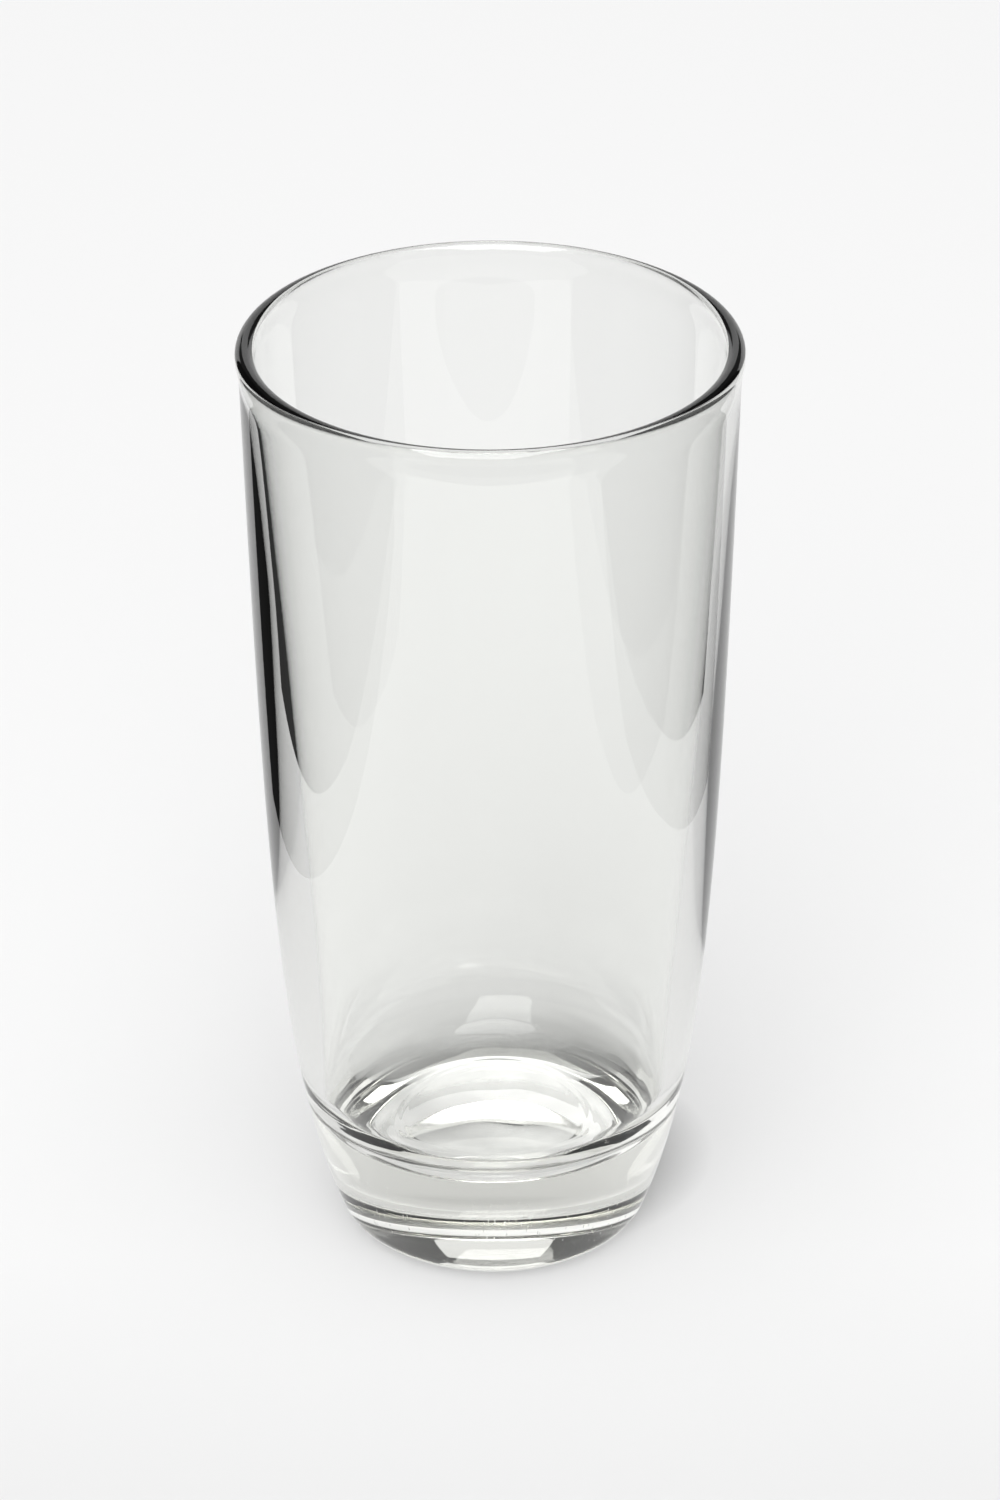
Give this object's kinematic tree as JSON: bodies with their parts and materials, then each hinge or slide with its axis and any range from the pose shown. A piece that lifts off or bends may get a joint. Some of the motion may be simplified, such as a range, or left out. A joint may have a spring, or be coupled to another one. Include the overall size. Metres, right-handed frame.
{
  "type": "highball glass",
  "caption": "Tall round drinking glass with a thick clear base, a gently tapered wall that curves in to the foot, and a rounded fire-polished rim.",
  "frame": {"origin": "centre of the ring that the glass stands on, in the plane of the table", "axes": "+Z along the axis of the glass, up to the rim; X and Y are interchangeable, because every surface is turned about Z"},
  "size_m": [0.0706, 0.0706, 0.14],
  "materials": {
    "clear_glass": "clear soda-lime glass, fire-polished rim, faint scuffs low on the wall"
  },
  "bodies": {
    "root": {"tumbler": "clear_glass"}
  },
  "joints": []
}
